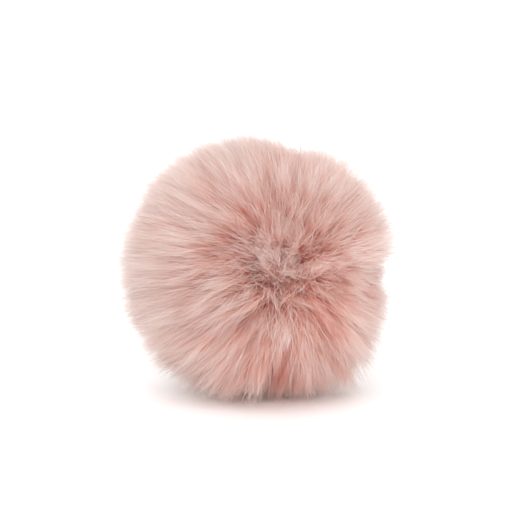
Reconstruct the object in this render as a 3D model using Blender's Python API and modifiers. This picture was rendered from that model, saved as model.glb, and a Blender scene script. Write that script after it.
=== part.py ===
"""A fluffy pompom of fur fabric, resting on its own pile.

Run it with: blender --background --python part.py

It is one solid. A small stuffed ball of backing carries the pile, which is gathered here into
four-sided tufts. Each tuft stands apart from its neighbours and is fused to the backing at its root.
The nap leans away from a crown, which faces the front and a little to the right. The tufts under the
ball are pressed short, and their blunt ends lie level on the floor.

Everything is in metres, with +Z up and -Y the front. The origin is on the floor, under the middle of
the pompom's width and depth.
"""

import math
import random
from collections import namedtuple

import bmesh
import bpy
from mathutils import Quaternion, Vector, noise

# Driving dimensions.
PILE_RADIUS = 0.0495
BACKING_RADIUS = 0.0260
PRESSED_SPOT_RADIUS = 0.0160
CENTRE = Vector((0, 0, math.sqrt(PILE_RADIUS**2 - PRESSED_SPOT_RADIUS**2)))

SEED = 41

# Tufts. An icosahedron smoothed twice has 240 four-sided faces, and each grows one tuft.
FACE_SMOOTHINGS = 2
FACE_JITTER = 0.10  # of a face's width, so that no two tufts are alike
LENGTH_SPREAD = 0.045  # of a tuft's length, either way
LONGEST = 1.2  # of a tuft's length, to search for the floor under it
FLOOR_STEPS = 12  # of the search, before the last step is halved again and again
HALVINGS = 24
TIP_STRAY = 0.14  # of a tuft's width, either way
ROOT_WIDTH = 0.78  # of the face that a tuft grows on
ROOT_INSET = 0.0004  # the first gap round a root, before it is set to its width

# How wide a tuft is on its way out, as a share of the room that it has there.
Section = namedtuple("Section", "share_of_length free_width pressed_width")
SECTIONS = (
    Section(0.30, 0.91, 0.91),
    Section(0.62, 0.84, 0.84),
    Section(0.87, 0.64, 0.78),
    Section(1.00, 0.20, 0.70),
)

# The nap. It leans away from the crown, more and more towards the tips, and wanders a little.
NAP_LEAN = math.radians(25)
NAP_BEND = 1.3  # the power of the share of the way out
NAP_WANDER = 0.070  # radians
NAP_WANDER_PITCH = 2.6  # waves for each radius


def towards(azimuth, elevation):
    """The direction that lies azimuth degrees to the right of the front and elevation degrees up."""
    around, up = math.radians(azimuth), math.radians(elevation)
    return Vector((math.sin(around) * math.cos(up), -math.cos(around) * math.cos(up), math.sin(up)))


CROWN = towards(azimuth=18, elevation=8)

# Where the pile swells out or is sunk in: the middle of the place, as degrees to the right of the front
# and degrees up, how many degrees it spreads, and how far it moves the tips.
Swelling = namedtuple("Swelling", "azimuth elevation spread height")
SWELLINGS = {
    "lower right cheek": Swelling(90, -44, 30, 0.0062),
    "lower left cheek": Swelling(-90, -46, 30, 0.0046),
    "left side": Swelling(-86, -6, 26, 0.0012),
    "upper left shoulder": Swelling(-90, 30, 24, 0.0006),
    "flattened top": Swelling(0, 84, 46, -0.0024),
    "hollow of the crown": Swelling(18, 6, 20, -0.0026),
    "gather at the back": Swelling(196, -6, 20, -0.0050),
}

# Grooves where the pile divides: the two ends, how many degrees wide, and how deep.
Parting = namedtuple("Parting", "from_azimuth from_elevation to_azimuth to_elevation spread depth")
PARTINGS = {
    "top": Parting(38, 58, 140, 60, 9.0, 0.0058),
    "right side": Parting(74, -4, 118, -8, 9.0, 0.0062),
    "lower left": Parting(-40, -22, -74, -48, 7.0, 0.0016),
}


def bump(angle, spread):
    """A smooth hump of height 1 whose sides fall away within about spread degrees."""
    return math.exp(-((math.degrees(angle) / spread) ** 2))


def angle_to_arc(direction, start, end):
    """The angle between a direction and the nearest direction on the arc from start to end."""
    across = start.cross(end).normalized()
    along = (direction - across * direction.dot(across)).normalized()
    if start.cross(along).dot(across) > 0 and along.cross(end).dot(across) > 0:
        return direction.angle(along)
    return min(direction.angle(start), direction.angle(end))


def pile_reach(direction):
    """How far the pile stands out from the centre in this direction, before the floor presses it."""
    reach = PILE_RADIUS
    for place in SWELLINGS.values():
        middle = towards(place.azimuth, place.elevation)
        reach += place.height * bump(direction.angle(middle), place.spread)
    for parting in PARTINGS.values():
        start = towards(parting.from_azimuth, parting.from_elevation)
        end = towards(parting.to_azimuth, parting.to_elevation)
        reach -= parting.depth * bump(angle_to_arc(direction, start, end), parting.spread)
    return reach


def combed(direction, radius):
    """The point that a straight fibre's point, at this direction and radius, is combed to."""
    way_out = max(0.0, (radius - BACKING_RADIUS) / (PILE_RADIUS - BACKING_RADIUS))
    share = way_out**NAP_BEND
    from_crown = direction.angle(CROWN)
    turn = Quaternion(CROWN.cross(direction).normalized(), NAP_LEAN * share * math.sin(from_crown))
    wander = noise.noise_vector(direction * NAP_WANDER_PITCH) * NAP_WANDER * share
    leaning = (turn @ (direction + wander)).normalized()
    return leaning * radius + CENTRE


def radius_above_floor(direction, far):
    """How far out a fibre goes before it meets the floor, and no further than the radius far."""
    step = (far - BACKING_RADIUS) / FLOOR_STEPS
    out = BACKING_RADIUS
    for _ in range(FLOOR_STEPS):
        if combed(direction, out + step).z < 0:
            break
        out += step
    else:
        return far
    for _ in range(HALVINGS):
        step /= 2
        if combed(direction, out + step).z > 0:
            out += step
    return out


def backing():
    """The ball of backing as a BMesh: an icosahedron, smoothed to four-sided faces and rounded."""
    bpy.ops.mesh.primitive_ico_sphere_add(subdivisions=1, radius=BACKING_RADIUS)
    blank = bpy.context.object
    smooth = blank.modifiers.new("Four-sided faces", "SUBSURF")
    smooth.levels = smooth.render_levels = FACE_SMOOTHINGS
    ball = bmesh.new()
    ball.from_object(blank, bpy.context.evaluated_depsgraph_get())
    bpy.data.objects.remove(blank)
    face_width = math.sqrt(4 * math.pi / len(ball.faces)) * BACKING_RADIUS
    for vert in ball.verts:
        sideways = Vector(random.uniform(-1, 1) for _ in range(3)) * FACE_JITTER * face_width
        vert.co = (vert.co.normalized() * BACKING_RADIUS + sideways).normalized() * BACKING_RADIUS
    return ball


def set_root(face, corners, middle):
    """Narrows a face of the backing to a tuft's root."""
    for vert, corner in zip(face.verts, corners):
        direction = (middle + ROOT_WIDTH * (corner - middle)).normalized()
        vert.co = combed(direction, BACKING_RADIUS)


def grow_tuft(ball, face, corners, middle):
    """Draws one face of the backing out into a tuft, section by section."""
    width = (corners[0] - corners[2]).length
    stray = Vector(random.uniform(-1, 1) for _ in range(3)) * TIP_STRAY * width
    tip = combed(middle, PILE_RADIUS) - CENTRE
    spread = 1 + random.uniform(-LENGTH_SPREAD, LENGTH_SPREAD)
    length = (pile_reach(tip.normalized()) - BACKING_RADIUS) * spread
    pressed = radius_above_floor(middle, BACKING_RADIUS + length) < BACKING_RADIUS + length
    longest = length * LONGEST if pressed else length
    for section in SECTIONS:
        face = bmesh.ops.extrude_discrete_faces(ball, faces=[face])["faces"][0]
        share = section.share_of_length
        room = section.pressed_width if pressed else section.free_width
        centre = middle if pressed else middle + stray * share**3
        for vert, corner in zip(face.verts, corners):
            direction = (centre + room * (corner - middle)).normalized()
            end = radius_above_floor(direction, BACKING_RADIUS + longest)
            vert.co = combed(direction, BACKING_RADIUS + share * (end - BACKING_RADIUS))


def grow_pile(ball):
    """Grows a tuft on every face of the backing."""
    faces = list(ball.faces)
    outlines = [[vert.co.normalized() for vert in face.verts] for face in faces]
    bmesh.ops.translate(ball, verts=ball.verts, vec=CENTRE)
    bmesh.ops.inset_individual(ball, faces=faces, thickness=ROOT_INSET)
    for face, corners in zip(faces, outlines):
        middle = sum(corners, Vector()).normalized()
        set_root(face, corners, middle)
        grow_tuft(ball, face, corners, middle)


def stand_on_origin(ball):
    """Moves the pompom so that the origin is under the middle of its width and depth."""
    for axis in (0, 1):
        places = [vert.co[axis] for vert in ball.verts]
        middle = (min(places) + max(places)) / 2
        for vert in ball.verts:
            vert.co[axis] -= middle


def fur_material():
    """Acrylic fur fabric in dusty pink."""
    material = bpy.data.materials.new("dusty pink fur")
    material.use_nodes = True
    shader = material.node_tree.nodes["Principled BSDF"]
    shader.inputs["Base Color"].default_value = (0.71, 0.45, 0.39, 1)
    shader.inputs["Roughness"].default_value = 0.9
    shader.inputs["Metallic"].default_value = 0.0
    return material


def main():
    for old in list(bpy.data.objects):
        bpy.data.objects.remove(old)
    random.seed(SEED)
    noise.seed_set(SEED)
    ball = backing()
    grow_pile(ball)
    stand_on_origin(ball)
    mesh = bpy.data.meshes.new("fur_ball")
    ball.to_mesh(mesh)
    ball.free()
    mesh.materials.append(fur_material())
    mesh.shade_smooth()
    mesh.set_sharp_from_angle(angle=math.radians(40))
    parts = bpy.data.collections.new("Pompom")
    bpy.context.scene.collection.children.link(parts)
    parts.objects.link(bpy.data.objects.new("fur_ball", mesh))


main()
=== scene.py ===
"""The looks of a faux fur pompom: its backing, its underfur, its long pile, and a plain studio.

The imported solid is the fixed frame. The pile grows on a ball of backing, whose surface carries a
styling guide: where a fibre that is rooted there would end once it is combed. Geometry Nodes then
scatter the roots, gather the fibres into tufts and locks, bend them, and lay them on the floor.

Lengths are in metres, with +Z up and -Y the front.
"""

import math
from collections import namedtuple

import bpy
from bpy.props import FloatProperty, FloatVectorProperty, IntProperty, PointerProperty
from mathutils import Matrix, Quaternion, Vector, noise


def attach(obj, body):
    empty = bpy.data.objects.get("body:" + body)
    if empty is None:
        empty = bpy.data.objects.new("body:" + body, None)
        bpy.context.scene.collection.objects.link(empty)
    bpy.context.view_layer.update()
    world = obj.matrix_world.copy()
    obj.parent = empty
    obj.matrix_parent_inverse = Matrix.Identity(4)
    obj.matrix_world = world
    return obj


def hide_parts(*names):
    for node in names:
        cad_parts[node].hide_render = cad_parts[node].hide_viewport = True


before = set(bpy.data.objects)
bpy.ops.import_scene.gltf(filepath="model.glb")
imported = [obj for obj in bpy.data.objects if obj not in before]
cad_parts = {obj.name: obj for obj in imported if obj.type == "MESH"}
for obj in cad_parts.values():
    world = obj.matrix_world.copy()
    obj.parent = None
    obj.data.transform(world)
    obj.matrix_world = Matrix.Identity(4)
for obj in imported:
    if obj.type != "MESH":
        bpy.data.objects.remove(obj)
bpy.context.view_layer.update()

bl_info = {
    "name": "Faux Fur Pompom",
    "version": (1, 0, 0),
    "blender": (4, 5, 0),
    "location": "3D View > Sidebar > Pompom",
    "description": "Builds the backing, the underfur and the long pile of a pompom, and its studio",
    "category": "Add Mesh",
}

NODE = "fur_ball"
SEED = 41

# The ball, as the solid has it.
CENTRE = Vector((0.00173, -0.00010, 0.04684))
PILE_RADIUS = 0.0496
BACKING_RADIUS = 0.0260
BACKING_SUBDIVISIONS = 6

# The nap, which lies down away from the crown.
NAP_LEAN = math.radians(25)
NAP_LIES_DOWN = (14, 62)  # degrees from the crown, between which the pile lies down more and more
CROWN_SWEEP = Vector((-0.15, 0.0, 0.02))  # how the pile of the crown itself is swept, in radii
CROWN_SWEEP_SPREAD = 34  # degrees
NAP_WANDERS = ((2.6, 0.090), (7.0, 0.045))  # waves for each radius, and radians

# The slices that the pile is made in, like those of an orange, counted from the front to the right.
SLICES = ("front_right", "right", "back_right", "back_left", "left", "front_left")


def linear(hex_colour):
    """An sRGB hex colour as linear red, green and blue."""
    channels = [int(hex_colour[i : i + 2], 16) / 255 for i in (1, 3, 5)]
    return [c / 12.92 if c <= 0.04045 else ((c + 0.055) / 1.055) ** 2.4 for c in channels]


class PompomColours(bpy.types.PropertyGroup):
    """Colours of the fur, from the roots to the tips."""

    root: FloatVectorProperty(
        name="Root",
        description="Colour of the pile where it leaves the backing",
        subtype="COLOR",
        default=linear("#ffb296"),
    )
    middle: FloatVectorProperty(
        name="Middle",
        description="Colour of the pile half way out",
        subtype="COLOR",
        default=linear("#f1c8bb"),
    )
    deep_glow: FloatVectorProperty(
        name="Deep glow",
        description="Colour of the light that passes through the pile near its roots",
        subtype="COLOR",
        default=linear("#ffaa88"),
    )
    glow: FloatVectorProperty(
        name="Glow",
        description="Colour of the light that passes through the pile half way out",
        subtype="COLOR",
        default=linear("#fcbfab"),
    )
    tip_glow: FloatVectorProperty(
        name="Tip glow",
        description="Colour of the light that passes through the pile at its tips",
        subtype="COLOR",
        default=linear("#efd8cf"),
    )
    tip: FloatVectorProperty(
        name="Tip",
        description="Colour of the pile at its tips",
        subtype="COLOR",
        default=linear("#ece1dd"),
    )
    backing: FloatVectorProperty(
        name="Backing",
        description="Colour of the knitted backing",
        subtype="COLOR",
        default=linear("#9a5a4b"),
    )
    floor: FloatVectorProperty(
        name="Floor",
        description="Colour of the studio's floor",
        subtype="COLOR",
        default=linear("#fcfcfc"),
    )


class PompomPile(bpy.types.PropertyGroup):
    """Sizes and counts of the pile."""

    long_fibres: IntProperty(
        name="Long fibres",
        description="How many long fibres grow on the whole ball",
        default=136000,
        min=100,
    )
    under_fibres: IntProperty(
        name="Underfur fibres",
        description="How many short fibres grow between them",
        default=62000,
        min=100,
    )
    fibre_width: FloatProperty(
        name="Fibre width",
        description="Width of one drawn fibre, which stands for a few real ones that cling together",
        default=0.00013,
        unit="LENGTH",
    )
    tuft_spacing: FloatProperty(
        name="Tuft spacing",
        description="Distance between the roots of neighbouring tufts",
        default=0.0012,
        unit="LENGTH",
    )
    lock_spacing: FloatProperty(
        name="Lock spacing",
        description="Distance between the roots of neighbouring locks, which hold several tufts",
        default=0.0046,
        unit="LENGTH",
    )


def add(tree, kind, inputs=None, **settings):
    """Adds a node with its settings. An input is a value, a socket, or a node to link its result from."""
    node = tree.nodes.new(kind)
    for name, value in settings.items():
        setattr(node, name, value)
    for key, value in (inputs or {}).items():
        if isinstance(value, bpy.types.Node):
            value = next(socket for socket in value.outputs if not socket.is_unavailable)
        if isinstance(value, bpy.types.NodeSocket):
            tree.links.new(value, node.inputs[key])
        else:
            node.inputs[key].default_value = value
    return node


# ---------------------------------------------------------------- the styling guide


def towards(azimuth, elevation):
    """The direction that lies azimuth degrees to the right of the front and elevation degrees up."""
    around, up = math.radians(azimuth), math.radians(elevation)
    return Vector((math.sin(around) * math.cos(up), -math.cos(around) * math.cos(up), math.sin(up)))


CROWN = towards(azimuth=22, elevation=11)

# Where the pile swells out or is sunk in: the middle of the place, as degrees to the right of the front
# and degrees up, how many degrees it spreads, and how far it moves the tips.
Swelling = namedtuple("Swelling", "azimuth elevation spread height")
SWELLINGS = {
    "lower right cheek": Swelling(90, -56, 22, 0.0060),
    "lower left cheek": Swelling(-90, -36, 28, 0.0024),
    "upper left shoulder": Swelling(-90, 34, 30, 0.0011),
    "flattened top": Swelling(0, 84, 46, -0.0020),
    "hollow of the crown": Swelling(20, 4, 6, -0.0008),
    "left bank of the crown": Swelling(2, -1, 12, 0.0020),
    "wisps over the crown": Swelling(27, 14, 6, 0.0016),
    "under the front": Swelling(0, -62, 26, -0.0030),
    "gather at the back": Swelling(196, -6, 20, -0.0036),
}

# Grooves where the pile divides: the two ends, how many degrees wide, and how deep.
Parting = namedtuple("Parting", "from_azimuth from_elevation to_azimuth to_elevation spread depth")
PARTINGS = {
    "top": Parting(24, 60, 156, 60, 10.0, 0.0045),
    "right side": Parting(66, -2, 118, -6, 9.0, 0.0066),
    "lower left": Parting(-40, -22, -74, -48, 7.0, 0.0016),
    "above the crown": Parting(12, 36, 20, 20, 5.0, 0.0014),
    "right of the crown": Parting(32, 20, 33, -3, 4.0, 0.0015),
    "below the crown": Parting(16, -7, 21, -14, 5.5, 0.0020),
    "towards the right cheek": Parting(28, -13, 41, -27, 8.0, 0.0020),
    "down the front": Parting(9, -36, 15, -66, 5.0, 0.0110),
    "down the front, to the left": Parting(-8, -28, 3, -47, 6.0, 0.0040),
}


def bump(angle, spread):
    """A smooth hump of height 1 whose sides fall away within about spread degrees."""
    return math.exp(-((math.degrees(angle) / spread) ** 2))


def nearness(direction, place):
    """1 in the middle of a place, and less and less away from it."""
    return bump(direction.angle(towards(place.azimuth, place.elevation)), place.spread)


def angle_to_arc(direction, start, end):
    """The angle between a direction and the nearest direction on the arc from start to end."""
    across = start.cross(end).normalized()
    along = (direction - across * direction.dot(across)).normalized()
    if start.cross(along).dot(across) > 0 and along.cross(end).dot(across) > 0:
        return direction.angle(along)
    return min(direction.angle(start), direction.angle(end))


def parted(direction):
    """How deep the partings are in this direction."""
    depth = 0.0
    for parting in PARTINGS.values():
        start = towards(parting.from_azimuth, parting.from_elevation)
        end = towards(parting.to_azimuth, parting.to_elevation)
        depth += parting.depth * bump(angle_to_arc(direction, start, end), parting.spread)
    return depth


def pile_reach(direction):
    """How far the pile stands out from the centre in this direction, before the floor presses it."""
    swollen = sum(place.height * nearness(direction, place) for place in SWELLINGS.values())
    return PILE_RADIUS + swollen - parted(direction)


def smooth_step(value, low, high):
    """Rises smoothly from 0 at low to 1 at high."""
    share = min(1.0, max(0.0, (value - low) / (high - low)))
    return share * share * (3 - 2 * share)


def combed_end(direction):
    """Where a fibre that is rooted in this direction ends, from the ball's centre."""
    from_crown = direction.angle(CROWN)
    lying = smooth_step(math.degrees(from_crown), *NAP_LIES_DOWN)
    # Past the widest ring round the crown it stands up again, until it is straight at the back.
    lying *= math.cos(max(0.0, from_crown - math.radians(90)))
    turn = Quaternion(CROWN.cross(direction).normalized(), NAP_LEAN * lying)
    wander = Vector()
    for pitch, angle in NAP_WANDERS:
        wander += noise.noise_vector(direction * pitch) * angle
    swept = CROWN_SWEEP * bump(from_crown, CROWN_SWEEP_SPREAD)
    leaning = (turn @ (direction + wander) + swept).normalized()
    return leaning * pile_reach(leaning)


# Where the pile is ruffled: the middle of the place and how many degrees it spreads, as above, and by how
# much, from 0 for smooth to 1 for most unruly.
Tangle = namedtuple("Tangle", "azimuth elevation spread ruffle")
TANGLES = {
    "crown": Tangle(12, 3, 38, 0.85),
    "under the front": Tangle(6, -50, 30, 0.85),
}
RUFFLE_ELSEWHERE = 0.15

# Painted light and shade, with some of the pile's own frosting: how much sooner on its way out a fibre
# turns pale, as a share of its length, place by place. Below 0 it turns pale later, and stays deeper in
# colour. Paler places paint light where the pile should look more lit; deeper ones paint shade in the
# crown, along the partings and on the underside.
Tint = namedtuple("Tint", "azimuth elevation spread paler")
PAINTED_LIGHT_AND_FROST = {
    # Partly painted shade and partly the pile's own frosting: the crown stays deeper in colour.
    "crown": Tint(23, 0, 22, -0.11),
    "beside the crown": Tint(-4, 2, 11, 0.06),
    "light wisps over the crown": Tint(27, 14, 7, 0.20),
    "under the crown, to the left": Tint(8, -9, 6, 0.08),
    "low on the left": Tint(-18, -30, 14, 0.12),
    "right of the crown": Tint(31.5, 7.5, 5, -0.10),
    "below the crown": Tint(20, -8, 6, -0.10),
    "towards the right cheek": Tint(41, -22, 11, -0.19),
    "left of the front": Tint(-30, 8, 8, -0.08),
    "above, to the left": Tint(-10, 22, 8, -0.03),
    "over the crown": Tint(24, 42, 8, -0.06),
    # Painted shade: the pile stays deeper in colour in the groove down the front.
    "down the front": Tint(9, -38, 12, -0.17),
    "right side": Tint(58, 6, 20, 0.08),
    # Painted shade: the underside stays deeper in colour, where less light reaches it.
    "underside": Tint(0, -74, 32, -0.34),
}
PAINTED_SHADE_IN_PARTINGS = 28.0  # painted shade in the grooves: how much later the pile turns pale, for each metre of a parting's depth

# What the guide holds for the tree to read.
GUIDE_VALUES = {
    "end": ("FLOAT_VECTOR", "POINT"),
    "unruly": ("FLOAT", "POINT"),
    "frost_and_painted_light": ("FLOAT", "POINT"),
    "slice": ("INT", "FACE"),
}


def guide_ball(name):
    """The ball of backing, with the combed end, ruffle, and frosting with its painted light and shade at
    each vertex, and each face's slice.
    """
    bpy.ops.mesh.primitive_ico_sphere_add(
        subdivisions=BACKING_SUBDIVISIONS, radius=BACKING_RADIUS, location=CENTRE
    )
    ball = bpy.context.object
    ball.name = ball.data.name = name
    mesh = ball.data
    mesh.transform(ball.matrix_world)
    ball.location = (0, 0, 0)
    noise.seed_set(SEED)
    for value, (kind, domain) in GUIDE_VALUES.items():
        mesh.attributes.new(value, kind, domain)
    ends = mesh.attributes["end"]
    unruly = mesh.attributes["unruly"]
    frost_and_painted_light = mesh.attributes["frost_and_painted_light"]
    slices = mesh.attributes["slice"]
    for vert in mesh.vertices:
        direction = (vert.co - CENTRE).normalized()
        combed = combed_end(direction)
        ruffle = sum(tangle.ruffle * nearness(direction, tangle) for tangle in TANGLES.values())
        # Painted light and shade: the pile is made paler or deeper in colour place by place, and deeper
        # along the partings.
        paler = sum(tint.paler * nearness(combed, tint) for tint in PAINTED_LIGHT_AND_FROST.values())
        ends.data[vert.index].vector = CENTRE + combed
        unruly.data[vert.index].value = RUFFLE_ELSEWHERE + ruffle
        frost_and_painted_light.data[vert.index].value = 1 + paler - PAINTED_SHADE_IN_PARTINGS * parted(combed)
    for face in mesh.polygons:
        place = face.center - CENTRE
        azimuth = math.degrees(math.atan2(place.x, -place.y)) % 360
        slices.data[face.index].value = int(azimuth // (360 / len(SLICES)))
    return ball


# ---------------------------------------------------------------- the pile

# One layer of the pile: how many rungs a fibre's ribbon has, the share of the full length that fibres grow
# to and how much it varies, how wide they are beside the long ones, how strongly tufts gather fibres and
# locks gather tufts, how far a fibre's end strays, how far it bows and kinks, and how light its tone is,
# from 0 to 1, and how much that varies.
Layer = namedtuple(
    "Layer", "rungs length length_spread width tuft_pull lock_pull stray bow kink tone tone_spread"
)
LONG_PILE = Layer(
    rungs=4,
    length=1.0,
    length_spread=0.22,
    width=1.0,
    tuft_pull=0.90,
    lock_pull=0.45,
    stray=0.0018,
    bow=0.0016,
    kink=0.0009,
    tone=0.5,
    tone_spread=0.42,
)
UNDERFUR = Layer(
    rungs=2,
    length=0.78,
    length_spread=0.20,
    width=2.5,
    tuft_pull=0.45,
    lock_pull=0.20,
    stray=0.0022,
    bow=0.0010,
    kink=0.0,
    tone=0.4,
    tone_spread=0.30,
)

# Tufts and locks. A stray is how far an end moves where the pile is most unruly, and a spread is a share
# of the pile's length, either way.
TUFT_STRAY = 0.0220
LOCK_STRAY = 0.0080
TUFT_LENGTH_SPREAD = 0.12
LOCK_LENGTH_SPREAD = 0.10
SMOOTH_UNEVENNESS = 0.35  # of both spreads, where the pile is smooth
DENSEST_CLUSTERS = 4.0e6  # on a square metre, before those that stand too close are taken away

# Fibres. A pair is how much a share changes from smooth to most unruly pile, and what it is where smooth.
GRIP = (0.45, 0.55)  # of a tuft's pull
OWN_STRAY = (-0.25, 1.05)  # of the layer's stray
OUTWARD_SHARE = 0.3  # of a stray move, when it leads outwards or inwards
LUCK_BEND = 2.0  # most fibres are near the short end of their range, and a few grow long
LUCK_SHORT = 0.35  # of that range, which lies below the layer's length
SHORTFALL = 0.30  # of the pile's length, for the shortest fibres where it is ruffled
SLIMMEST = 0.6  # of a fibre's width
THICKEST = 1.25
LOCK_TONE = 0.5  # of the tone that a fibre shares with its neighbours, the rest of which is its tuft's
OWN_TONE = 0.3  # of its whole tone

# Loose fibres, which keep out of the tufts.
LOOSE_SHARE = 0.32  # of all fibres
LOOSE_PULL = 0.1  # how strongly tufts still gather them
LOOSE_STRAY = 3.0  # times as far as the others
LOOSE_PALER = 0.28  # by what share of their length
LOOSE_COARSER = 0.8  # of a fibre's width, where the pile is most unruly

# A fibre on its way out. A bend is how late it does something: 1 is evenly, and more is nearer its tip.
NAP_BEND = 1.3  # leans over with the nap
GATHER_BEND = 2.6  # is drawn into its tuft
PALING_BEND = 1.6  # turns pale
TAPER_BEND = 3.0  # grows thin
RUNG_BEND = 0.72  # comes to its next rung: less than 1, so that rungs are closer together at the tip
TAPER = 0.85  # of its width, which is gone at the tip
KINK_WAVES = 1.5  # from root to tip
ARCH_HEIGHT = 0.25  # the height of the arch x (1 - x), which a bow follows
RIBBON_TILT = 0.45  # how far a ribbon may turn from facing outwards
SHADING_TILT = 0.08  # how much of that the light sees, as fibres are round and not flat
MAP_EDGE = 0.002  # half the width that a fibre takes on its UV map

FLOOR_SOFTNESS = 0.0035  # height at which the floor starts to bend the pile
FLOOR_SPLAY = 0.3  # how far a bent fibre is pushed out, as a share of how far it was pushed up

# What is left to chance: a move any way, before it is scaled to its reach, and the seeds.
ANY_WAY = {"Min": (-1, -1, -1), "Max": (1, 1, 1)}
TUFT_SEED = SEED + 1
LOCK_SEED = SEED + 2
LONG_PILE_SEED = SEED + 10
UNDERFUR_SEED = SEED + 20
SEEDS = {
    "lock stray": 11,
    "tuft stray": 12,
    "loose": 13,
    "fibre stray": 14,
    "fibre length": 15,
    "ribbon tilt": 16,
    "fibre width": 17,
    "bow": 18,
    "tuft tone": 19,
    "fibre tone": 20,
    "kink": 21,
    "lock tone": 22,
    "tuft length": 23,
    "lock length": 24,
    "shortfall": 25,
}

# What the tree asks for, and what it keeps about each fibre until its ribbon is bent.
INPUTS = {
    "Geometry": "NodeSocketGeometry",
    "Slice": "NodeSocketInt",
    "Density": "NodeSocketFloat",
    "Fibre width": "NodeSocketFloat",
    "Tuft spacing": "NodeSocketFloat",
    "Lock spacing": "NodeSocketFloat",
    "Centre": "NodeSocketVector",
    "Rungs": "NodeSocketInt",
    "Length": "NodeSocketFloat",
    "Length spread": "NodeSocketFloat",
    "Tuft pull": "NodeSocketFloat",
    "Lock pull": "NodeSocketFloat",
    "Stray": "NodeSocketFloat",
    "Bow": "NodeSocketFloat",
    "Kink": "NodeSocketFloat",
    "Tone": "NodeSocketFloat",
    "Tone spread": "NodeSocketFloat",
    "Seed": "NodeSocketInt",
    "Material": "NodeSocketMaterial",
}
FIBRE_VALUES = {
    "root": "FLOAT_VECTOR",
    "end": "FLOAT_VECTOR",
    "side": "FLOAT_VECTOR",
    "bow": "FLOAT_VECTOR",
    "kink": "FLOAT_VECTOR",
    "face": "FLOAT_VECTOR",
    "drawn": "FLOAT_VECTOR",
    "tone": "FLOAT",
    "frost_and_painted_light": "FLOAT",
}
RUNG_VALUES = ("rise", "across")  # 0 at the root to 1 at the tip, and -0.5 to 0.5 from edge to edge


def scatter_roots(tree, given):
    """The roots of the fibres that grow on this slice of the ball."""
    slice_here = add(tree, "GeometryNodeInputNamedAttribute", {"Name": "slice"}, data_type="INT")
    here = add(
        tree,
        "FunctionNodeCompare",
        {"A": slice_here, "B": given["Slice"]},
        data_type="INT",
        operation="EQUAL",
    )
    return add(
        tree,
        "GeometryNodeDistributePointsOnFaces",
        {
            "Mesh": given["Geometry"],
            "Selection": here,
            "Density": given["Density"],
            "Seed": given["Seed"],
        },
        distribute_method="RANDOM",
    )


def scatter_clusters(tree, given):
    """The middles of the tufts and of the locks, on the whole ball."""
    clusters = {}
    for name, spacing, seed in (
        ("tuft", "Tuft spacing", TUFT_SEED),
        ("lock", "Lock spacing", LOCK_SEED),
    ):
        clusters[name] = add(
            tree,
            "GeometryNodeDistributePointsOnFaces",
            {
                "Mesh": given["Geometry"],
                "Distance Min": given[spacing],
                "Density Max": DENSEST_CLUSTERS,
                "Seed": seed,
            },
            distribute_method="POISSON",
        )
    return clusters


def at_root(tree, given):
    """What a fibre is styled from: its root's place, the guide there, and whether it is a loose one."""
    root = {"place": add(tree, "GeometryNodeInputPosition")}
    for name in ("end", "unruly", "frost_and_painted_light"):
        kind = GUIDE_VALUES[name][0]
        root[name] = add(tree, "GeometryNodeInputNamedAttribute", {"Name": name}, data_type=kind)
    spoke = add(
        tree, "ShaderNodeVectorMath", {0: root["end"], 1: given["Centre"]}, operation="SUBTRACT"
    )
    root["outwards"] = add(tree, "ShaderNodeVectorMath", {0: spoke}, operation="NORMALIZE")
    loose = add(
        tree,
        "FunctionNodeRandomValue",
        {"Probability": LOOSE_SHARE, "Seed": SEEDS["loose"]},
        data_type="BOOLEAN",
    )
    for name, usual, when_loose in (
        ("pull", given["Tuft pull"], LOOSE_PULL),
        ("freedom", 1.0, LOOSE_STRAY),
        ("paler", 0.0, LOOSE_PALER),
        ("coarser", 0.0, LOOSE_COARSER),
    ):
        root[name] = add(
            tree,
            "GeometryNodeSwitch",
            {"Switch": loose, "False": usual, "True": when_loose},
            input_type="FLOAT",
        )
    return root


def sideways(tree, root, move):
    """The move, with the part of it that leads outwards or inwards made smaller."""
    outwards = root["outwards"]
    out = add(tree, "ShaderNodeVectorMath", {0: move, 1: outwards}, operation="DOT_PRODUCT")
    out = add(tree, "ShaderNodeMath", {0: out, 1: OUTWARD_SHARE - 1}, operation="MULTIPLY")
    back = add(tree, "ShaderNodeVectorMath", {0: outwards, "Scale": out}, operation="SCALE")
    return add(tree, "ShaderNodeVectorMath", {0: move, 1: back}, operation="ADD")


def strayed(tree, root, seed, reach):
    """The combed end, moved at random by up to reach where the pile is most unruly."""
    move = add(
        tree, "FunctionNodeRandomValue", {**ANY_WAY, "Seed": seed}, data_type="FLOAT_VECTOR"
    )
    amount = add(tree, "ShaderNodeMath", {0: root["unruly"], 1: reach}, operation="MULTIPLY")
    move = add(tree, "ShaderNodeVectorMath", {0: move, "Scale": amount}, operation="SCALE")
    move = sideways(tree, root, move)
    return add(tree, "ShaderNodeVectorMath", {0: root["end"], 1: move}, operation="ADD")


def sampled(tree, root, cluster, value, data_type):
    """The value at the tuft or the lock that is nearest to the root."""
    nearest = add(
        tree,
        "GeometryNodeSampleNearest",
        {"Geometry": cluster, "Sample Position": root["place"]},
        domain="POINT",
    )
    return add(
        tree,
        "GeometryNodeSampleIndex",
        {"Geometry": cluster, "Value": value, "Index": nearest},
        data_type=data_type,
        domain="POINT",
    )


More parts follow.
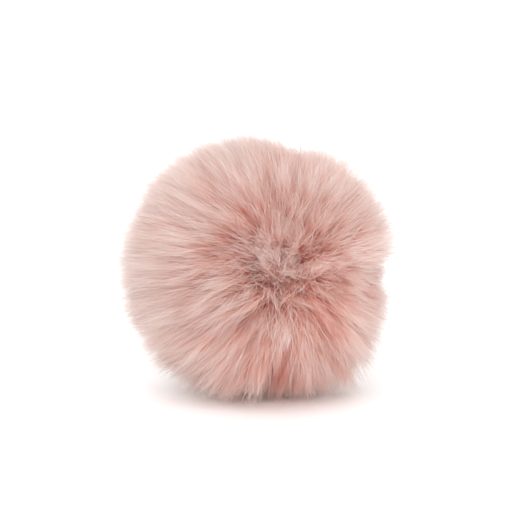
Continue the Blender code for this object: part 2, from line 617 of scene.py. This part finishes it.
def drawn_in(tree, given, root, clusters):
    """How far a fibre's end is moved: towards its tuft's, which is drawn to its lock's, and at random."""
    lock_end = strayed(tree, root, SEEDS["lock stray"], LOCK_STRAY)
    lock_end = sampled(tree, root, clusters["lock"], lock_end, "FLOAT_VECTOR")
    tuft_end = strayed(tree, root, SEEDS["tuft stray"], TUFT_STRAY)
    tuft_end = add(
        tree,
        "ShaderNodeMix",
        {"Factor": given["Lock pull"], "A": tuft_end, "B": lock_end},
        data_type="VECTOR",
    )
    tuft_end = sampled(tree, root, clusters["tuft"], tuft_end, "FLOAT_VECTOR")
    grip = add(
        tree,
        "ShaderNodeMath",
        {0: root["unruly"], 1: GRIP[0], 2: GRIP[1]},
        operation="MULTIPLY_ADD",
    )
    pull = add(tree, "ShaderNodeMath", {0: root["pull"], 1: grip}, operation="MULTIPLY")
    drawn = add(tree, "ShaderNodeVectorMath", {0: tuft_end, 1: root["end"]}, operation="SUBTRACT")
    drawn = add(tree, "ShaderNodeVectorMath", {0: drawn, "Scale": pull}, operation="SCALE")

    reach = add(
        tree,
        "ShaderNodeMath",
        {0: root["unruly"], 1: OWN_STRAY[0], 2: OWN_STRAY[1]},
        operation="MULTIPLY_ADD",
    )
    for share in (given["Stray"], root["freedom"]):
        reach = add(tree, "ShaderNodeMath", {0: reach, 1: share}, operation="MULTIPLY")
    move = add(
        tree,
        "FunctionNodeRandomValue",
        {**ANY_WAY, "Seed": SEEDS["fibre stray"]},
        data_type="FLOAT_VECTOR",
    )
    move = add(tree, "ShaderNodeVectorMath", {0: move, "Scale": reach}, operation="SCALE")
    move = sideways(tree, root, move)
    return add(tree, "ShaderNodeVectorMath", {0: drawn, 1: move}, operation="ADD")


def length_share(tree, given, root, clusters):
    """How long a fibre grows, as a share of the full length."""
    chances = {}
    for name in ("fibre length", "shortfall"):
        chance = add(
            tree,
            "FunctionNodeRandomValue",
            {"Min": 0.0, "Max": 1.0, "Seed": SEEDS[name]},
            data_type="FLOAT",
        )
        chances[name] = add(tree, "ShaderNodeMath", {0: chance, 1: LUCK_BEND}, operation="POWER")
    luck = add(
        tree, "ShaderNodeMath", {0: chances["fibre length"], 1: LUCK_SHORT}, operation="SUBTRACT"
    )
    share = add(
        tree,
        "ShaderNodeMath",
        {0: luck, 1: given["Length spread"], 2: given["Length"]},
        operation="MULTIPLY_ADD",
    )
    short = add(
        tree, "ShaderNodeMath", {0: chances["shortfall"], 1: root["unruly"]}, operation="MULTIPLY"
    )
    share = add(
        tree, "ShaderNodeMath", {0: short, 1: -SHORTFALL, 2: share}, operation="MULTIPLY_ADD"
    )
    uneven = add(
        tree, "ShaderNodeMath", {0: root["unruly"], 1: SMOOTH_UNEVENNESS}, operation="ADD"
    )
    for name, spread in (("tuft", TUFT_LENGTH_SPREAD), ("lock", LOCK_LENGTH_SPREAD)):
        more = add(
            tree,
            "FunctionNodeRandomValue",
            {"Min": -spread, "Max": spread, "Seed": SEEDS[name + " length"]},
            data_type="FLOAT",
        )
        more = add(tree, "ShaderNodeMath", {0: more, 1: uneven}, operation="MULTIPLY")
        more = sampled(tree, root, clusters[name], more, "FLOAT")
        share = add(tree, "ShaderNodeMath", {0: share, 1: more}, operation="ADD")
    return share


def ribbon_turn(tree, given, root, fibre_end):
    """The way across a ribbon, as long as it is wide, and the way that the light sees it face."""
    # A ribbon faces outwards, more or less, so that the pile is covered from every side.
    along = add(
        tree, "ShaderNodeVectorMath", {0: fibre_end, 1: root["place"]}, operation="SUBTRACT"
    )
    outward = add(
        tree, "ShaderNodeVectorMath", {0: fibre_end, 1: given["Centre"]}, operation="SUBTRACT"
    )
    outward = add(tree, "ShaderNodeVectorMath", {0: outward}, operation="NORMALIZE")
    tilt = add(
        tree,
        "FunctionNodeRandomValue",
        {"Min": (-RIBBON_TILT,) * 3, "Max": (RIBBON_TILT,) * 3, "Seed": SEEDS["ribbon tilt"]},
        data_type="FLOAT_VECTOR",
    )
    facing = add(tree, "ShaderNodeVectorMath", {0: outward, 1: tilt}, operation="ADD")
    side = add(tree, "ShaderNodeVectorMath", {0: along, 1: facing}, operation="CROSS_PRODUCT")
    side = add(tree, "ShaderNodeVectorMath", {0: side}, operation="NORMALIZE")
    tilt = add(tree, "ShaderNodeVectorMath", {0: tilt, "Scale": SHADING_TILT}, operation="SCALE")
    face = add(tree, "ShaderNodeVectorMath", {0: outward, 1: tilt}, operation="ADD")

    width = add(
        tree,
        "FunctionNodeRandomValue",
        {"Min": SLIMMEST, "Max": THICKEST, "Seed": SEEDS["fibre width"]},
        data_type="FLOAT",
    )
    coarse = add(
        tree,
        "ShaderNodeMath",
        {0: root["coarser"], 1: root["unruly"], 2: 1.0},
        operation="MULTIPLY_ADD",
    )
    for share in (given["Fibre width"], coarse):
        width = add(tree, "ShaderNodeMath", {0: width, 1: share}, operation="MULTIPLY")
    side = add(tree, "ShaderNodeVectorMath", {0: side, "Scale": width}, operation="SCALE")
    return side, face


def curves(tree, given, root):
    """The way and the distance that a fibre bows, and those that it kinks where the pile is unruly."""
    kinked = add(
        tree, "ShaderNodeMath", {0: root["unruly"], 1: given["Kink"]}, operation="MULTIPLY"
    )
    moves = []
    for name, reach in (("bow", given["Bow"]), ("kink", kinked)):
        move = add(
            tree,
            "FunctionNodeRandomValue",
            {**ANY_WAY, "Seed": SEEDS[name]},
            data_type="FLOAT_VECTOR",
        )
        move = add(tree, "ShaderNodeVectorMath", {0: move, "Scale": reach}, operation="SCALE")
        moves.append(move)
    return moves


def tone_of(tree, given, root, clusters):
    """How light a fibre is: partly as its lock and its tuft are, and partly by itself."""
    tones = {}
    for name in ("tuft", "lock", "fibre"):
        tones[name] = add(
            tree,
            "FunctionNodeRandomValue",
            {"Min": -1.0, "Max": 1.0, "Seed": SEEDS[name + " tone"]},
            data_type="FLOAT",
        )
        if name in clusters:
            tones[name] = sampled(tree, root, clusters[name], tones[name], "FLOAT")
    tone = tones["tuft"]
    for share, other in ((LOCK_TONE, tones["lock"]), (OWN_TONE, tones["fibre"])):
        tone = add(
            tree, "ShaderNodeMix", {"Factor": share, "A": tone, "B": other}, data_type="FLOAT"
        )
    return add(
        tree,
        "ShaderNodeMath",
        {0: tone, 1: given["Tone spread"], 2: given["Tone"]},
        operation="MULTIPLY_ADD",
    )


def styled_roots(tree, given):
    """The roots as points, each of which keeps what its fibre is to be like."""
    clusters = scatter_clusters(tree, given)
    root = at_root(tree, given)
    share = length_share(tree, given, root, clusters)
    end = add(
        tree,
        "ShaderNodeMix",
        {"Factor": share, "A": root["place"], "B": root["end"]},
        data_type="VECTOR",
        clamp_factor=False,
    )
    side, face = ribbon_turn(tree, given, root, end)
    bow, kink = curves(tree, given, root)
    # The guide's frosting, with its painted light and shade, times the fibre's length share; loose fibres
    # are paler still.
    frost_and_painted_light = add(
        tree,
        "ShaderNodeMath",
        {0: root["frost_and_painted_light"], 1: share, 2: root["paler"]},
        operation="MULTIPLY_ADD",
    )
    values = {
        "root": root["place"],
        "end": end,
        "side": side,
        "bow": bow,
        "kink": kink,
        "face": face,
        "drawn": drawn_in(tree, given, root, clusters),
        "tone": tone_of(tree, given, root, clusters),
        "frost_and_painted_light": frost_and_painted_light,
    }
    points = scatter_roots(tree, given)
    for name, kind in FIBRE_VALUES.items():
        points = add(
            tree,
            "GeometryNodeStoreNamedAttribute",
            {"Geometry": points, "Name": "fibre_" + name, "Value": values[name]},
            data_type=kind,
            domain="POINT",
        )
    return points


def flat_ribbons(tree, given, points):
    """A flat ribbon for each point: two columns of rungs, closer together at the tip, where it shows."""
    ribbon = add(
        tree,
        "GeometryNodeMeshGrid",
        {"Size X": 1.0, "Size Y": 1.0, "Vertices X": 2, "Vertices Y": given["Rungs"]},
    )
    place = add(tree, "GeometryNodeInputPosition")
    place = add(tree, "ShaderNodeSeparateXYZ", {0: place}).outputs
    rise = add(tree, "ShaderNodeMath", {0: place["Y"], 1: 0.5}, operation="ADD", use_clamp=True)
    rise = add(tree, "ShaderNodeMath", {0: rise, 1: RUNG_BEND}, operation="POWER")
    for name, value in zip(RUNG_VALUES, (rise, place["X"])):
        ribbon = add(
            tree,
            "GeometryNodeStoreNamedAttribute",
            {"Geometry": ribbon, "Name": name, "Value": value},
            data_type="FLOAT",
            domain="POINT",
        )
    ribbons = add(tree, "GeometryNodeInstanceOnPoints", {"Points": points, "Instance": ribbon})
    return add(tree, "GeometryNodeRealizeInstances", {"Geometry": ribbons})


def along_fibre(tree, given, kept):
    """The spot on its fibre's middle line that a rung lies at before it is bowed, gathered and kinked."""
    ways = []
    reaches = []
    for name in ("root", "end"):
        spoke = add(
            tree, "ShaderNodeVectorMath", {0: kept[name], 1: given["Centre"]}, operation="SUBTRACT"
        )
        ways.append(add(tree, "ShaderNodeVectorMath", {0: spoke}, operation="NORMALIZE"))
        reaches.append(add(tree, "ShaderNodeVectorMath", {0: spoke}, operation="LENGTH"))
    turn = add(tree, "ShaderNodeMath", {0: kept["rise"], 1: NAP_BEND}, operation="POWER")
    way = add(
        tree, "ShaderNodeMix", {"Factor": turn, "A": ways[0], "B": ways[1]}, data_type="VECTOR"
    )
    way = add(tree, "ShaderNodeVectorMath", {0: way}, operation="NORMALIZE")
    reach = add(
        tree,
        "ShaderNodeMix",
        {"Factor": kept["rise"], "A": reaches[0], "B": reaches[1]},
        data_type="FLOAT",
    )
    spot = add(tree, "ShaderNodeVectorMath", {0: way, "Scale": reach}, operation="SCALE")
    return add(tree, "ShaderNodeVectorMath", {0: spot, 1: given["Centre"]}, operation="ADD")


def rung_spot(tree, given, kept):
    """Where a rung's corner lies before the floor bends its fibre."""
    rise = kept["rise"]
    arch = add(tree, "ShaderNodeMath", {0: 1.0, 1: rise}, operation="SUBTRACT")
    arch = add(tree, "ShaderNodeMath", {0: arch, 1: rise}, operation="MULTIPLY")
    gather = add(tree, "ShaderNodeMath", {0: rise, 1: GATHER_BEND}, operation="POWER")
    wave = add(
        tree, "ShaderNodeMath", {0: rise, 1: 2 * math.pi * KINK_WAVES}, operation="MULTIPLY"
    )
    wave = add(tree, "ShaderNodeMath", {0: wave}, operation="SINE")
    wave = add(tree, "ShaderNodeMath", {0: wave, 1: rise}, operation="MULTIPLY")
    taper = add(tree, "ShaderNodeMath", {0: rise, 1: TAPER_BEND}, operation="POWER")
    taper = add(
        tree, "ShaderNodeMath", {0: taper, 1: -TAPER, 2: 1.0}, operation="MULTIPLY_ADD"
    )
    edge = add(tree, "ShaderNodeMath", {0: taper, 1: kept["across"]}, operation="MULTIPLY")
    spot = along_fibre(tree, given, kept)
    for name, share in (("bow", arch), ("drawn", gather), ("kink", wave), ("side", edge)):
        move = add(tree, "ShaderNodeVectorMath", {0: kept[name], "Scale": share}, operation="SCALE")
        spot = add(tree, "ShaderNodeVectorMath", {0: spot, 1: move}, operation="ADD")
    return spot


def above_floor(tree, given, spot):
    """The spot, after the floor has bent what would pass through it, and pushed it outwards."""
    height = add(tree, "ShaderNodeSeparateXYZ", {0: spot}).outputs["Z"]
    under = add(tree, "ShaderNodeMath", {0: height, 1: FLOOR_SOFTNESS}, operation="SUBTRACT")
    under = add(tree, "ShaderNodeMath", {0: under, 1: 0.0}, operation="MINIMUM")
    pressed = add(tree, "ShaderNodeMath", {0: under, 1: FLOOR_SOFTNESS}, operation="DIVIDE")
    pressed = add(tree, "ShaderNodeMath", {0: pressed}, operation="EXPONENT")
    pressed = add(tree, "ShaderNodeMath", {0: pressed, 1: -1.0}, operation="ADD")
    lift = add(tree, "ShaderNodeMath", {0: pressed, 1: FLOOR_SOFTNESS}, operation="MULTIPLY")
    lift = add(tree, "ShaderNodeMath", {0: lift, 1: under}, operation="SUBTRACT")
    flat = add(tree, "ShaderNodeVectorMath", {0: spot, 1: given["Centre"]}, operation="SUBTRACT")
    flat = add(tree, "ShaderNodeVectorMath", {0: flat, 1: (1, 1, 0)}, operation="MULTIPLY")
    flat = add(tree, "ShaderNodeVectorMath", {0: flat}, operation="NORMALIZE")
    splay = add(tree, "ShaderNodeMath", {0: lift, 1: FLOOR_SPLAY}, operation="MULTIPLY")
    push = add(tree, "ShaderNodeVectorMath", {0: flat, "Scale": splay}, operation="SCALE")
    raised = add(tree, "ShaderNodeCombineXYZ", {"Z": lift})
    push = add(tree, "ShaderNodeVectorMath", {0: push, 1: raised}, operation="ADD")
    return add(tree, "ShaderNodeVectorMath", {0: spot, 1: push}, operation="ADD")


def map_colour(tree, fibres, kept):
    """The fibres with a UV map: tone across, with a sliver of width for each, and paleness up."""
    across = add(
        tree,
        "ShaderNodeMath",
        {0: kept["across"], 1: 2 * MAP_EDGE, 2: kept["tone"]},
        operation="MULTIPLY_ADD",
    )
    paling = add(tree, "ShaderNodeMath", {0: kept["rise"], 1: PALING_BEND}, operation="POWER")
    # Paleness follows the frosting, which carries painted light and shade.
    up = add(tree, "ShaderNodeMath", {0: paling, 1: kept["frost_and_painted_light"]}, operation="MULTIPLY")
    spot = add(tree, "ShaderNodeCombineXYZ", {"X": across, "Y": up})
    return add(
        tree,
        "GeometryNodeStoreNamedAttribute",
        {"Geometry": fibres, "Name": "OFBake", "Value": spot},
        data_type="FLOAT2",
        domain="CORNER",
    )


def pile_tree():
    """The Geometry Nodes tree that grows one layer of pile on one slice of the ball."""
    tree = bpy.data.node_groups.new("Combed pile", "GeometryNodeTree")
    for name, kind in INPUTS.items():
        tree.interface.new_socket(name, in_out="INPUT", socket_type=kind)
    tree.interface.new_socket("Geometry", in_out="OUTPUT", socket_type="NodeSocketGeometry")
    given = add(tree, "NodeGroupInput").outputs
    fibres = flat_ribbons(tree, given, styled_roots(tree, given))

    kept = {}
    for name, kind in FIBRE_VALUES.items():
        kept[name] = add(
            tree, "GeometryNodeInputNamedAttribute", {"Name": "fibre_" + name}, data_type=kind
        )
    for name in RUNG_VALUES:
        kept[name] = add(
            tree, "GeometryNodeInputNamedAttribute", {"Name": name}, data_type="FLOAT"
        )
    spot = above_floor(tree, given, rung_spot(tree, given, kept))
    fibres = add(tree, "GeometryNodeSetPosition", {"Geometry": fibres, "Position": spot})
    fibres = add(
        tree,
        "GeometryNodeSetMeshNormal",
        {"Mesh": fibres, "Custom Normal": kept["face"]},
        mode="FREE",
    )
    fibres = map_colour(tree, fibres, kept)
    for name in (*("fibre_" + value for value in FIBRE_VALUES), *RUNG_VALUES, *GUIDE_VALUES):
        fibres = add(tree, "GeometryNodeRemoveAttribute", {"Geometry": fibres, "Name": name})
    fibres = add(
        tree, "GeometryNodeSetMaterial", {"Geometry": fibres, "Material": given["Material"]}
    )
    add(tree, "NodeGroupOutput", {"Geometry": fibres})
    return tree


def grow(guide, tree, name, index, density, layer, seed, material):
    """One slice of one layer of the pile, as a plain mesh object."""
    pile = bpy.context.scene.pompom_pile
    grower = guide.modifiers.new("Pile", "NODES")
    grower.node_group = tree
    values = {
        "Slice": index,
        "Density": density,
        "Fibre width": pile.fibre_width * layer.width,
        "Tuft spacing": pile.tuft_spacing,
        "Lock spacing": pile.lock_spacing,
        "Centre": CENTRE,
        "Rungs": layer.rungs,
        "Length": layer.length,
        "Length spread": layer.length_spread,
        "Tuft pull": layer.tuft_pull,
        "Lock pull": layer.lock_pull,
        "Stray": layer.stray,
        "Bow": layer.bow / ARCH_HEIGHT,
        "Kink": layer.kink,
        "Tone": layer.tone,
        "Tone spread": layer.tone_spread,
        "Seed": seed,
        "Material": material,
    }
    for socket in tree.interface.items_tree:
        if socket.in_out == "INPUT" and socket.name in values:
            grower[socket.identifier] = values[socket.name]
    graph = bpy.context.evaluated_depsgraph_get()
    mesh = bpy.data.meshes.new_from_object(guide.evaluated_get(graph))
    guide.modifiers.remove(grower)
    if not mesh.polygons:
        raise RuntimeError(f"{name} grew no fibres")
    mesh.name = name
    piece = bpy.data.objects.new(name, mesh)
    bpy.context.scene.collection.objects.link(piece)
    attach(piece, "root")
    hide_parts(NODE)


# ---------------------------------------------------------------- materials

SHADE_RANGE = (0.90, 1.08)  # how much darker and lighter fibres are than their colour
LIGHT_THROUGH = 0.58  # of the light, which passes through a fibre, and the rest comes back
FUZZ_TINT = "#f6cfc2"  # of light that grazes the fibres
RIB_PITCH = 0.001208  # from one rib of the knit to the next
WAVE_PITCH = math.pi / 10  # from band to band of a Wave texture whose scale is 1


def pile_material():
    """Acrylic pile: spun from drawn fibres, brushed and combed, and dyed in one colour.

    Fine, crimped fibres scatter light, so they are matt, with a soft sheen at the edges. Light passes
    through the tips, which look pale and glow. Between the roots it takes on more of the dye at each
    fibre that it meets, so the pile is deeper and warmer in colour there.
    """
    colours = bpy.context.scene.pompom_colours
    material = bpy.data.materials.new("acrylic pile")
    material.use_nodes = True
    tree = material.node_tree
    tree.nodes.clear()
    fibre_map = add(tree, "ShaderNodeUVMap", uv_map="OFBake")
    fibre_map = add(tree, "ShaderNodeSeparateXYZ", {0: fibre_map}).outputs
    shade = add(
        tree,
        "ShaderNodeMapRange",
        {"Value": fibre_map["X"], "To Min": SHADE_RANGE[0], "To Max": SHADE_RANGE[1]},
    )
    surface_stops = ((0.08, colours.root), (0.34, colours.middle), (0.74, colours.tip))
    glow_stops = (
        (0.08, colours.deep_glow),
        (0.36, colours.glow),
        (0.76, colours.tip_glow),
        (1.0, colours.tip),
    )
    tints = []
    for stops in (surface_stops, glow_stops):
        ramp = add(tree, "ShaderNodeValToRGB", {0: fibre_map["Y"]})
        elements = ramp.color_ramp.elements
        elements.remove(elements[1])
        elements[0].position = stops[0][0]
        elements[0].color = (*stops[0][1], 1)
        for position, colour in stops[1:]:
            elements.new(position).color = (*colour, 1)
        tint = add(tree, "ShaderNodeVectorMath", {0: ramp, "Scale": shade}, operation="SCALE")
        tints.append(tint)
    surface = add(
        tree,
        "ShaderNodeBsdfPrincipled",
        {
            "Base Color": tints[0],
            "Roughness": 0.62,
            "Specular IOR Level": 0.05,
            "Sheen Weight": 0.4,
            "Sheen Roughness": 0.45,
            "Sheen Tint": (*linear(FUZZ_TINT), 1),
        },
    )
    glow = add(tree, "ShaderNodeBsdfTranslucent", {"Color": tints[1]})
    both = add(tree, "ShaderNodeMixShader", {0: LIGHT_THROUGH, 1: surface, 2: glow})
    add(tree, "ShaderNodeOutputMaterial", {0: both})
    return material


def backing_material():
    """Polyester backing: knitted from thin yarn, so it is matt, with fine ribs that catch the light."""
    colours = bpy.context.scene.pompom_colours
    material = bpy.data.materials.new("knitted backing")
    material.use_nodes = True
    tree = material.node_tree
    tree.nodes.clear()
    place = add(tree, "ShaderNodeTexCoord").outputs["Object"]
    ribs = add(
        tree,
        "ShaderNodeTexWave",
        {"Vector": place, "Scale": WAVE_PITCH / RIB_PITCH, "Distortion": 0.6},
        bands_direction="Z",
    )
    relief = add(
        tree,
        "ShaderNodeBump",
        {"Height": ribs.outputs["Fac"], "Strength": 0.4, "Distance": 0.0004},
    )
    shader = add(
        tree,
        "ShaderNodeBsdfPrincipled",
        {"Base Color": (*colours.backing, 1), "Roughness": 0.95, "Normal": relief},
    )
    add(tree, "ShaderNodeOutputMaterial", {0: shader})
    return material


def studio_material():
    """White paper: pressed and left uncoated, so it is bright and even, and has no gloss."""
    colours = bpy.context.scene.pompom_colours
    material = bpy.data.materials.new("matt white paper")
    material.use_nodes = True
    shader = material.node_tree.nodes["Principled BSDF"]
    shader.inputs["Base Color"].default_value = (*colours.floor, 1)
    shader.inputs["Roughness"].default_value = 1.0
    shader.inputs["Specular IOR Level"].default_value = 0.0
    return material


# ---------------------------------------------------------------- the studio

CAMERA_ELEVATION = math.radians(8)
CAMERA_LENS = 100.0  # mm
SENSOR_WIDTH = 36.0  # mm
IMAGE_SIZE = 520  # pixels, across and down
PIXEL_SIZE = 0.0003584  # metres of the ball, at its centre
BALL_IN_IMAGE = (256.6, 266.5)  # pixels, where the ball's centre lies


def add_camera():
    """A long lens a little above the level of the ball, which frames it with plenty of room."""
    lens = bpy.data.cameras.new("Camera")
    lens.lens = CAMERA_LENS
    lens.sensor_width = SENSOR_WIDTH
    camera = bpy.data.objects.new("Camera", lens)
    bpy.context.scene.collection.objects.link(camera)
    distance = IMAGE_SIZE * PIXEL_SIZE * CAMERA_LENS / SENSOR_WIDTH
    back = Vector((0, -math.cos(CAMERA_ELEVATION), math.sin(CAMERA_ELEVATION)))
    right = Vector((1, 0, 0))
    up = right.cross(-back)
    sideways = (IMAGE_SIZE / 2 - BALL_IN_IMAGE[0]) * PIXEL_SIZE
    upwards = (BALL_IN_IMAGE[1] - IMAGE_SIZE / 2) * PIXEL_SIZE
    ball = Vector((0, 0, CENTRE.z))
    camera.location = ball + right * sideways + up * upwards + back * distance
    camera.rotation_euler = (-back).to_track_quat("-Z", "Y").to_euler()
    bpy.context.scene.camera = camera


SUN_FROM = (-0.15, -1.0, 0.58)  # the way to the middle of the light
SUN_STRENGTH = 2.1
SUN_SOFTNESS = math.radians(80)
WORLD_STRENGTH = 1.0
FLOOR_REACH = 4.0  # metres, from the pompom to the front edge and to each side edge
WALL_DISTANCE = 1.4  # from the pompom back to where the floor sweeps up
SWEEP_RADIUS = 0.8
SWEEP_STEPS = 12
WALL_HEIGHT = 2.5


def add_backdrop():
    """A floor that sweeps up into a wall behind, so that no horizon shows."""
    profile = [(-FLOOR_REACH, 0.0), (WALL_DISTANCE, 0.0)]
    for step in range(1, SWEEP_STEPS + 1):
        angle = math.radians(90 * step / SWEEP_STEPS)
        across = WALL_DISTANCE + SWEEP_RADIUS * math.sin(angle)
        profile.append((across, SWEEP_RADIUS * (1 - math.cos(angle))))
    profile.append((WALL_DISTANCE + SWEEP_RADIUS, WALL_HEIGHT))
    verts = [(x, y, z) for y, z in profile for x in (-FLOOR_REACH, FLOOR_REACH)]
    faces = [(2 * i, 2 * i + 1, 2 * i + 3, 2 * i + 2) for i in range(len(profile) - 1)]
    mesh = bpy.data.meshes.new("backdrop")
    mesh.from_pydata(verts, [], faces)
    mesh.shade_smooth()
    backdrop = bpy.data.objects.new("backdrop", mesh)
    bpy.context.scene.collection.objects.link(backdrop)
    mesh.materials.append(studio_material())


# ---------------------------------------------------------------- operators


class AddBacking(bpy.types.Operator):
    """Add the gathered ball of backing that the pile grows on"""

    bl_idname = "pompom.add_backing"
    bl_label = "Backing"

    def execute(self, context):
        ball = guide_ball("backing")
        for name in GUIDE_VALUES:
            ball.data.attributes.remove(ball.data.attributes[name])
        ball.data.materials.clear()
        ball.data.materials.append(backing_material())
        ball.data.shade_smooth()
        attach(ball, "root")
        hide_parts(NODE)
        return {"FINISHED"}


class AddPile(bpy.types.Operator):
    """Add the long pile, with the underfur between its fibres"""

    bl_idname = "pompom.add_pile"
    bl_label = "Pile"

    def execute(self, context):
        pile = context.scene.pompom_pile
        guide = guide_ball("guide")
        tree = pile_tree()
        material = pile_material()
        area = sum(face.area for face in guide.data.polygons)
        density = pile.long_fibres / area
        for index, name in enumerate(SLICES):
            seed = LONG_PILE_SEED + index
            grow(guide, tree, "long_pile_" + name, index, density, LONG_PILE, seed, material)
        for face in guide.data.attributes["slice"].data:
            face.value = 0
        density = pile.under_fibres / area
        grow(guide, tree, "underfur", 0, density, UNDERFUR, UNDERFUR_SEED, material)
        bpy.data.objects.remove(guide)
        return {"FINISHED"}


class AddStudio(bpy.types.Operator):
    """Add the floor, the lights and the camera"""

    bl_idname = "pompom.add_studio"
    bl_label = "Studio"

    def execute(self, context):
        add_backdrop()
        light = bpy.data.lights.new("soft light", "SUN")
        light.energy = SUN_STRENGTH
        light.angle = SUN_SOFTNESS
        lamp = bpy.data.objects.new("soft light", light)
        context.scene.collection.objects.link(lamp)
        lamp.rotation_euler = Vector(SUN_FROM).to_track_quat("Z", "Y").to_euler()
        world = bpy.data.worlds.new("Studio")
        world.use_nodes = True
        sky = world.node_tree.nodes["Background"]
        sky.inputs["Color"].default_value = (1, 1, 1, 1)
        sky.inputs["Strength"].default_value = WORLD_STRENGTH
        context.scene.world = world
        context.scene.view_settings.view_transform = "Standard"
        add_camera()
        return {"FINISHED"}


class PompomPanel(bpy.types.Panel):
    """The pompom's pieces, sizes and colours"""

    bl_idname = "VIEW3D_PT_pompom"
    bl_label = "Pompom"
    bl_space_type = "VIEW_3D"
    bl_region_type = "UI"
    bl_category = "Pompom"

    def draw(self, context):
        layout = self.layout
        for group in (context.scene.pompom_pile, context.scene.pompom_colours):
            for name in group.__annotations__:
                layout.prop(group, name)
        for operator in OPERATORS:
            layout.operator(operator.bl_idname)


OPERATORS = (AddBacking, AddPile, AddStudio)
CLASSES = (PompomColours, PompomPile, *OPERATORS, PompomPanel)


def register():
    for cls in CLASSES:
        bpy.utils.register_class(cls)
    bpy.types.Scene.pompom_colours = PointerProperty(type=PompomColours)
    bpy.types.Scene.pompom_pile = PointerProperty(type=PompomPile)


def unregister():
    del bpy.types.Scene.pompom_pile
    del bpy.types.Scene.pompom_colours
    for cls in reversed(CLASSES):
        bpy.utils.unregister_class(cls)


def main():
    register()
    bpy.ops.pompom.add_backing()
    bpy.ops.pompom.add_pile()
    bpy.ops.pompom.add_studio()


if __name__ == "__main__":
    main()
